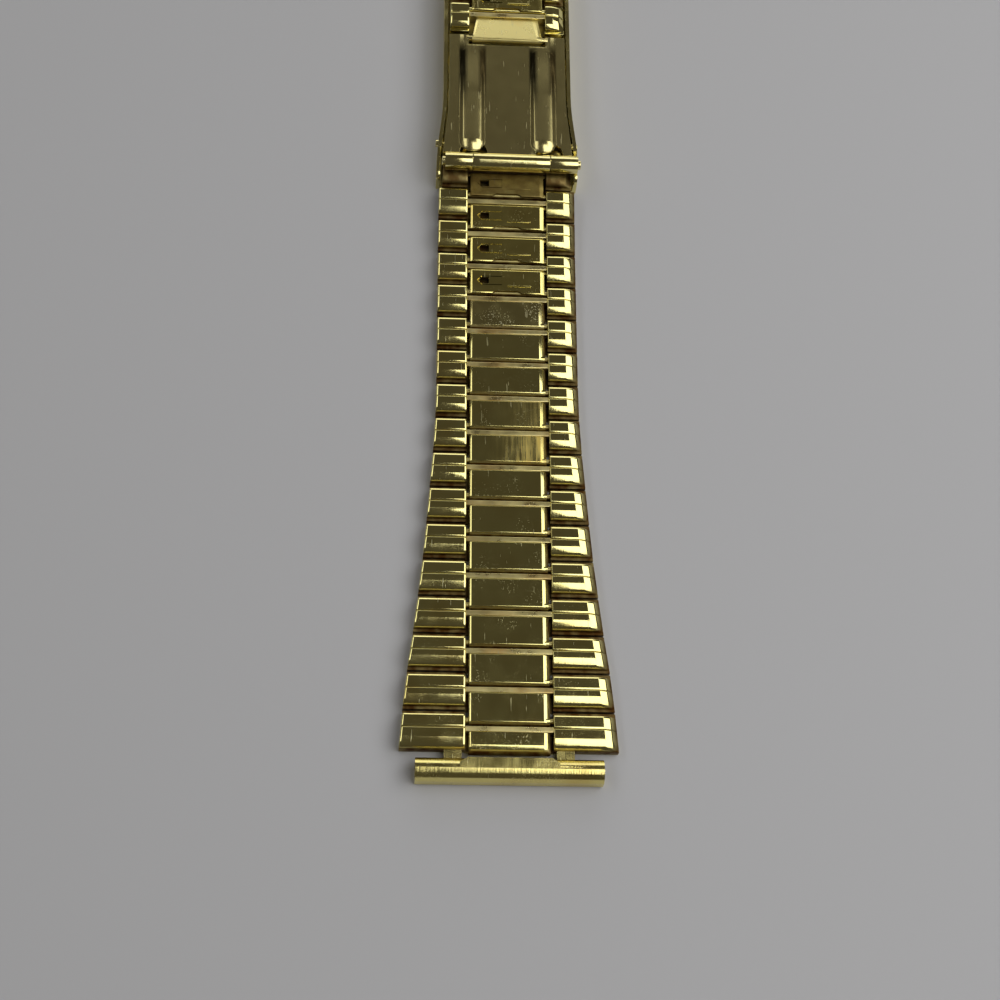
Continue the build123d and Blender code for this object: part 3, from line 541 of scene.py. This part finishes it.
def frame_shells(near_half, far_half, rib_end, back):
    """A frame: two ribs and a base on each side, the channel floor and the hinge bar."""
    shells = []
    rib_b = rib_b_outline(rib_end)
    if rib_end != RIB_B_END:
        rib_b = bent_sheet(rib_b[1:-1], END_RIB_SHEET)
    rib_a = [(RIB_A_FRONT, RIB_ROOT), (RIB_A_FRONT, RIB_TOP), (RIB_SPLIT + SPLIT_HALF, RIB_TOP),
             (RIB_SPLIT + SPLIT_HALF, RIB_ROOT)]
    for side in (-1, 1):
        shells.append(rib_block(rib_a, side, near_half, far_half, LEDGE_FRONT, back, FAR_EDGE, NEAR_EDGE))
        shells.append(rib_block(rib_b, side, near_half, far_half, LEDGE_FRONT, back, SPLIT_EDGE))
        base = drawn_across(bmesh.new(), base_outline(rib_end, back), side * CHANNEL_HALF, side * far_half)
        for vert in base.verts:
            if abs(vert.co.x) > CHANNEL_HALF + FINE_ROUND:
                share = (vert.co.y - back) / (LEDGE_FRONT - back)
                vert.co.x = side * (near_half + (far_half - near_half) * share)
        shells.append(round_edges(base, FINE_ROUND))
    reach = CHANNEL_HALF + FINE_ROUND
    floor = drawn_across(bmesh.new(), box_outline(RIB_A_FRONT, back, LINK_BOTTOM, FLOOR_TOP), -reach, reach)
    shells.append(floor)
    bar = arc_points(0, BAR_RADIUS, [2 * math.pi * n / BAR_STEPS for n in range(BAR_STEPS)])
    shells.append(drawn_across(bmesh.new(), bar, -reach, reach))
    return shells


def strip_shell():
    """The cross strip between a link's plate and the next one."""
    reach = CHANNEL_HALF + FINE_ROUND
    bm = drawn_across(bmesh.new(), box_outline(STRIP_FRONT, STRIP_BACK, FLOOR_TOP - FINE_ROUND, STRIP_TOP),
                      -reach, reach)
    return round_edges(bm, STRIP_ROUND, lambda e: min(v.co.z for v in e.verts) > 0)


# Plates: a flat top with sloping sides, a folded leg and a curl round the next hinge bar
SIDE_SLOPE_RUN = 0.30
PLATE_RIGHT = ((0.62, 0.33, 0.03), (0.30, 0.45, 0.03))
PLATE_LEFT = ((0.24, 0.40, 0.03),)
PLATE_NEAR = ((0.09, 0.33, 0.02),)
TAPERED_FALL = ((2.85, 0.105, 0.04),)
PLATE_UNDER = 0.22
SHEET = 0.25
TAPERED_SHARE = 0.87


def plate_top_shell(front, end, front_share=1.0):
    """The top of a plate, narrower and falling off towards the front if it is tapered."""
    bm = drawn_across(bmesh.new(), box_outline(front, end, PLATE_UNDER, PLATE_TOP), -PLATE_HALF, PLATE_HALF)
    for vert in bm.verts:
        if vert.co.y > (front + end) / 2:
            vert.co.x *= front_share
    round_edges(bm, PLATE_ROUND, lambda e: max(v.co.z for v in e.verts) > PLATE_UNDER + FINE_ROUND)
    press_edge(bm, Vector((0, end, 0)), NEAR, PLATE_NEAR, PLATE_UNDER, PLATE_TOP)
    press_sides(bm, front, end, front_share)
    if front_share < 1:
        press_edge(bm, Vector((0, front, 0)), FAR, TAPERED_FALL, PLATE_UNDER, PLATE_TOP)
    return bm


def press_sides(bm, front, end, front_share=1.0):
    """Slopes a plate's sides: wide on the right, narrow on the left, along its taper."""
    for side, slopes in ((1, PLATE_RIGHT), (-1, PLATE_LEFT)):
        run = Vector((side * PLATE_HALF * (front_share - 1), front - end, 0))
        outward = side * Vector((run.y, -run.x, 0)).normalized()
        press_edge(bm, Vector((side * PLATE_HALF, end, 0)), outward, slopes, PLATE_UNDER, PLATE_TOP)


def leg_shell(front, half):
    """The folded end of a plate, down to the channel floor."""
    return drawn_across(bmesh.new(), box_outline(front, front - SHEET, FLOOR_TOP, PLATE_UNDER + FINE_ROUND),
                        -half, half)


def plate_shells(front_share=1.0):
    """A plate: its top, its curl round the next bar and its folded leg."""
    half = PLATE_HALF - PLATE_ROUND
    curl = curl_outline(HOOK_RADIUS - PLATE_ROUND, *PLATE_CURL)
    return [plate_top_shell(PLATE_FRONT, PLATE_END, front_share),
            drawn_across(bmesh.new(), curl, -half, half),
            leg_shell(PLATE_FRONT - FINE_ROUND, half * front_share)]


# The end plate has no curl: its near end rolls down in front of the lug tube
END_PLATE_END = -3.35
END_PLATE_ROLL = 0.85
END_PLATE_STEPS = 10


def end_plate_shells():
    """The end link's plate, rolled down at its near end, with two legs."""
    roll_start = END_PLATE_END + END_PLATE_ROLL
    turns = [math.radians(90 * n / END_PLATE_STEPS) for n in range(END_PLATE_STEPS + 1)]
    line = [(PLATE_FRONT, PLATE_TOP)]
    line += [(roll_start - END_PLATE_ROLL * math.sin(turn),
              PLATE_TOP - END_PLATE_ROLL * (1 - math.cos(turn))) for turn in turns]
    top = drawn_across(bmesh.new(), bent_sheet(line, SHEET), -PLATE_HALF, PLATE_HALF)
    round_edges(top, END_PLATE_ROUND, lambda e: abs(e.verts[0].co.x - e.verts[1].co.x) < SAME_PLACE)
    press_sides(top, PLATE_FRONT, END_PLATE_END)
    return [top, leg_shell(PLATE_FRONT, PLATE_HALF - SIDE_SLOPE_RUN),
            leg_shell(roll_start + SHEET, PLATE_HALF - SIDE_SLOPE_RUN)]


# Adjusting links: a fixed jaw under the next bar, and a flap with a pressed arrow and a bar on it
JAW_START = -1.25
ARROW_TIP = -3.15
ARROW_NECK = -2.65
ARROW_TAIL = -0.55
ARROW_ALONG = -2.70
ARROW_HALF = 0.50
ARROW_RIM = 0.13
RELIEF_HEIGHT = 0.07
PRESSED_BAR = (0.05, 2.50, -3.42, -3.26)
FLAP_RIGHT = ((0.40, 0.33, 0.03),)


def jaw_shells():
    """The fixed sheet and half curl under an adjusting link's flap."""
    half = PLATE_HALF - PLATE_ROUND
    curl = curl_outline(HOOK_RADIUS, *JAW_CURL)
    sheet = box_outline(JAW_START, -PITCH, -HOOK_RADIUS, -HOOK_BORE)
    return [drawn_across(bmesh.new(), curl, -half, half), drawn_across(bmesh.new(), sheet, -half, half)]


def raised(bm, height):
    """Lifts every face of a flat mesh into a low rounded relief, sunk a little into what carries it."""
    grown = bmesh.ops.extrude_face_region(bm, geom=bm.faces[:])["geom"]
    moved = [part for part in grown if isinstance(part, bmesh.types.BMVert)]
    bmesh.ops.translate(bm, verts=moved, vec=(0, 0, height + FINE_ROUND))
    return round_edges(bm, height / 2, lambda e: min(v.co.z for v in e.verts) > PLATE_TOP, 2)


def relief_shells():
    """The arrow's rim and the bar that stand up from a flap."""
    points = [(ARROW_TIP, 0), (ARROW_NECK, -ARROW_HALF), (ARROW_TAIL, -ARROW_HALF), (ARROW_TAIL, ARROW_HALF),
              (ARROW_NECK, ARROW_HALF)]
    arrow = bmesh.new()
    face = arrow.faces.new([arrow.verts.new((x, ARROW_ALONG + y, PLATE_TOP - FINE_ROUND)) for x, y in points])
    bmesh.ops.inset_individual(arrow, faces=[face], thickness=ARROW_RIM, use_even_offset=True)
    bmesh.ops.delete(arrow, geom=[face], context="FACES_ONLY")
    left, right, low, high = PRESSED_BAR
    bar = bmesh.new()
    corners = [(left, low), (right, low), (right, high), (left, high)]
    bar.faces.new([bar.verts.new((x, y, PLATE_TOP - FINE_ROUND)) for x, y in corners])
    return [raised(arrow, RELIEF_HEIGHT), raised(bar, RELIEF_HEIGHT)]


def make_flap(node, body, place):
    """The flap keeps its solid's hinge roll, hole and notch, with its top edges pressed round."""
    flap = solid_copy(node)
    bmesh.ops.transform(flap, matrix=place.inverted(), verts=flap.verts)
    round_edges(flap, FLAP_ROUND, lambda e: max(v.co.z for v in e.verts) > PLATE_TOP - SHEET, 2)
    press_edge(flap, Vector((0, PLATE_END, 0)), NEAR, PLATE_NEAR, PLATE_TOP - SHEET, PLATE_TOP)
    for side, slopes in ((1, FLAP_RIGHT), (-1, PLATE_LEFT)):
        outward = Vector((side, 0, 0))
        press_edge(flap, outward * PLATE_HALF, outward, slopes, PLATE_TOP - SHEET, PLATE_TOP)
    finish_piece(joined(flap, *relief_shells()), node + "_lid", body, "plates", flap_gold, [node], place)


def make_link(name, nodes, place, near, far, kind):
    """One link: the ribs with their base, the cross strip, and its plate, end plate or jaw."""
    rib_end, back = (END_RIB_REACH, END_RIB_REACH) if kind == "end" else (RIB_B_END, TONGUE_END)
    shells = frame_shells(near, far, rib_end, back)
    if kind == "jaw":
        shells += jaw_shells()
    finish_piece(joined(*shells), name + "_ribs", name, "link_frames", rib_gold, nodes[:1], place)
    finish_piece(strip_shell(), name + "_strip", name, "link_frames", strip_gold, (), place)
    if kind == "jaw":
        return
    plate = end_plate_shells() if kind == "end" else plate_shells(TAPERED_SHARE if kind == "tapered" else 1.0)
    finish = PLATE_WEAR.get(name, plate_gold)
    finish_piece(joined(*plate), name + "_centre_plate", name, "plates", finish, nodes[1:], place)


for number in range(1, LOWER_LINKS + 1):
    name = "lower_link_%02d" % number
    place = link_place(lower_bars[number], lower_bars[number - 1])
    near, far = half_width(number - 1), half_width(number)
    if number == 1:
        place = Matrix.Translation(lower_bars[1])
    if number == LOWER_LINKS:
        near = far = MOUTH_LINK_WIDTH / 2
    if number < FIRST_FLAP_LINK:
        kind = "end" if number == 1 else "plain"
        make_link(name, [name + "_frame", name + "_plate"], place, near, far, kind)
    else:
        make_link(name, [name + "_frame"], place, near, far, "jaw")
        make_flap(name + "_flap", name + "_flap", place)

for number in range(1, UPPER_LINKS + 1):
    name = "upper_link_%02d" % number
    place = link_place(upper_bars[number], upper_bars[number - 1])
    from_lug = UPPER_LINKS - number
    near, far = half_width(from_lug + 1), half_width(from_lug)
    if number <= CLASP_SIDE_LINKS:
        near = far = CLASP_LINK_WIDTH / 2
    if number == UPPER_FLAP_LINK:
        make_link(name, [name], place, near, far, "jaw")
        make_flap(name + "_flap", name + "_flap", place)
    else:
        make_link(name, [name], place, near, far, "tapered" if number == 1 else "plain")

# Lug tubes, clasp sheets and pins keep their solids' shapes, with edges rounded by the last value
ROUNDED_SOLIDS = (
    ("lower_lug_tube", "lower_lug", "tube_sheet", tube_gold, 0.08),
    ("upper_lug_tube", "upper_lug", "tube_sheet", tube_gold, 0.08),
    ("lower_clasp_end", "lower_clasp_end", "tube_sheet", tube_gold, 0.06),
    ("clasp_cover", "clasp_cover", "clasp_sheet", cover_gold, 0.08),
    ("middle_blade", "middle_blade", "clasp_sheet", blade_gold, 0.06),
    ("inner_blade", "inner_blade", "clasp_sheet", blade_gold, 0.08),
    ("blade_hinge_pin", "middle_blade", "hinge_pins", pin_gold, 0.10),
    ("cover_hinge_pin", "clasp_cover", "hinge_pins", pin_gold, 0.06),
    ("clasp_spring_bar", "clasp_cover", "hinge_pins", pin_gold, 0.12),
)
# The blades' hinge knuckles are polished, within this distance of their hinge line
KNUCKLE_REACH = 1.35

# The blade's stiffeners: width, height and flanks, where they start and end, and over how far they sink
BLADE_TOP = 2.60
STIFFENER_HALF = 1.40
STIFFENER_HEIGHT = 0.26
STIFFENER_FLANK = 0.50
STIFFENER_FOOT = 69.5
STIFFENER_TIP = 81.45
STIFFENER_FADE = 6.5
FADE_CUTS = 12
FLANK_CUTS = 6


def eased(share):
    """Rises smoothly from 0 to 1."""
    share = min(1.0, max(0.0, share))
    return share * share * (3 - 2 * share)


def press_stiffeners(bm):
    """Gives the inner blade's two stiffeners flat tops and steep flanks, and sinks their far ends."""
    cuts = [((0, STIFFENER_TIP - STIFFENER_FADE * cut / FADE_CUTS, 0), FAR) for cut in range(FADE_CUTS + 1)]
    for side in (-1, 1):
        for way in (-1, 1):
            for cut in range(FLANK_CUTS + 1):
                inset = STIFFENER_HALF - STIFFENER_FLANK * cut / FLANK_CUTS
                cuts.append(((side * STIFFENER_X + way * inset, 0, 0), (1, 0, 0)))
    for point, normal in cuts:
        cut_mesh(bm, point, normal)
    for vert in bm.verts:
        reach = STIFFENER_HALF - abs(abs(vert.co.x) - STIFFENER_X)
        if vert.co.z > BLADE_TOP + SAME_PLACE and reach > 0 and STIFFENER_FOOT < vert.co.y < STIFFENER_TIP:
            height = STIFFENER_HEIGHT * eased(reach / STIFFENER_FLANK)
            height *= eased((STIFFENER_TIP - vert.co.y) / STIFFENER_FADE)
            vert.co.z = min(vert.co.z, BLADE_TOP + height)
    return bm


for node, body, slot, finish, size in ROUNDED_SOLIDS:
    solid = round_edges(solid_copy(node), size)
    if node == "inner_blade":
        solid = press_stiffeners(solid)
    piece = finish_piece(solid, node + "_rounded", body, slot, finish, [node], sharp=SHEET_FOLD_ANGLE)
    if node.endswith("_blade"):
        piece.data.materials.append(knuckle_gold)
        hinge_line = joint_places["blade_unfold"] * MM
        for face in piece.data.polygons:
            reach = face.center - hinge_line
            if math.hypot(reach.y, reach.z) < KNUCKLE_REACH * MM:
                face.material_index = 1


# Camera at the photograph's angle, from a fit of the band's rows and widths
CAMERA_PLACE = Vector((-12.60, -49.76, 172.93))
CAMERA_DOWN = math.radians(65.57)
CAMERA_TURN = math.radians(8.64)
CAMERA_ROLL = math.radians(9.27)
CAMERA_LENS = 68.4
SENSOR_WIDTH = 36.0
CLIP_START = 5
CLIP_END = 5000


def aim_camera():
    """Sets the camera up and makes it the scene's own."""
    ahead = Vector((math.sin(CAMERA_TURN) * math.cos(CAMERA_DOWN),
                    math.cos(CAMERA_TURN) * math.cos(CAMERA_DOWN), -math.sin(CAMERA_DOWN)))
    level = Vector((math.cos(CAMERA_TURN), -math.sin(CAMERA_TURN), 0))
    upright = level.cross(ahead)
    right = level * math.cos(CAMERA_ROLL) + upright * math.sin(CAMERA_ROLL)
    up = upright * math.cos(CAMERA_ROLL) - level * math.sin(CAMERA_ROLL)
    turned = Matrix((right, up, -ahead)).transposed().to_4x4()
    data = bpy.data.cameras.new("camera")
    data.lens = CAMERA_LENS
    data.sensor_width = SENSOR_WIDTH
    data.clip_start = CLIP_START * MM
    data.clip_end = CLIP_END * MM
    camera = bpy.data.objects.new("camera", data)
    camera.matrix_world = Matrix.Translation(CAMERA_PLACE * MM) @ turned
    bpy.context.scene.collection.objects.link(camera)
    bpy.context.scene.camera = camera


# Lamps: flat soft panels, with a radiance of 1 showing white. Places are in millimetres. Ceiling panels have
# a left, right, near and far edge, a radiance and a turn in degrees
CEILING = 400
CEILING_PANELS = {
    "softbox_over_shoulder": (36, 210, -260, 95, 2.0, 8.0),
    "window_right": (210, 650, -300, 400, 2.0, 0.0),
    "strip_left": (-420, -230, -100, 440, 1.3, 0.0),
}
# The wall ahead lights the edges that face away from the camera
WALL_MIDDLE = (0, 620, 250)
WALL_SIZE = (640, 380)
WALL_RADIANCE = 1.2
ROOM_COLOUR = "#FFF4E0"
ROOM_STRENGTH = 0.06
FLOOR_COLOUR = "#C4C4C6"
FLOOR_ROUGHNESS = 0.9
FLOOR_HALF = 1500


def add_panel(name, middle, size, ahead, radiance, turn=0.0):
    """A soft rectangular lamp that shines along a direction, turned about it in degrees."""
    data = bpy.data.lights.new(name, "AREA")
    data.shape = "RECTANGLE"
    data.size, data.size_y = size[0] * MM, size[1] * MM
    data.energy = math.pi * radiance * data.size * data.size_y
    lamp = bpy.data.objects.new(name, data)
    turned = ahead.to_track_quat("-Z", "Y").to_matrix().to_4x4() @ Matrix.Rotation(math.radians(turn), 4, "Z")
    lamp.matrix_world = Matrix.Translation(Vector(middle) * MM) @ turned
    bpy.context.scene.collection.objects.link(lamp)


def light_scene():
    """Hangs the lamps and fills the room with a faint warm light."""
    for name, (left, right, near, far, radiance, turn) in CEILING_PANELS.items():
        middle = ((left + right) / 2, (near + far) / 2, CEILING)
        add_panel(name, middle, (right - left, far - near), Vector((0, 0, -1)), radiance, turn)
    add_panel("wall_ahead", WALL_MIDDLE, WALL_SIZE, NEAR, WALL_RADIANCE)
    world = bpy.data.worlds.new("room")
    world.use_nodes = True
    background = world.node_tree.nodes["Background"]
    background.inputs["Color"].default_value = linear(ROOM_COLOUR)
    background.inputs["Strength"].default_value = ROOM_STRENGTH
    bpy.context.scene.world = world


def lay_floor():
    """Lays a plain pale floor under the band."""
    bm = bmesh.new()
    bmesh.ops.create_grid(bm, x_segments=1, y_segments=1, size=FLOOR_HALF * MM)
    bmesh.ops.translate(bm, verts=bm.verts, vec=(0, 0, -TUBE_RADIUS * MM))
    mesh = bpy.data.meshes.new("floor")
    bm.to_mesh(mesh)
    bm.free()
    material = bpy.data.materials.new("pale_floor")
    material.use_nodes = True
    shader = material.node_tree.nodes["Principled BSDF"]
    shader.inputs["Base Color"].default_value = linear(FLOOR_COLOUR)
    shader.inputs["Roughness"].default_value = FLOOR_ROUGHNESS
    mesh.materials.append(material)
    floor = bpy.data.objects.new("floor", mesh)
    bpy.context.scene.collection.objects.link(floor)


aim_camera()
light_scene()
lay_floor()
bpy.context.scene.view_settings.view_transform = "Standard"
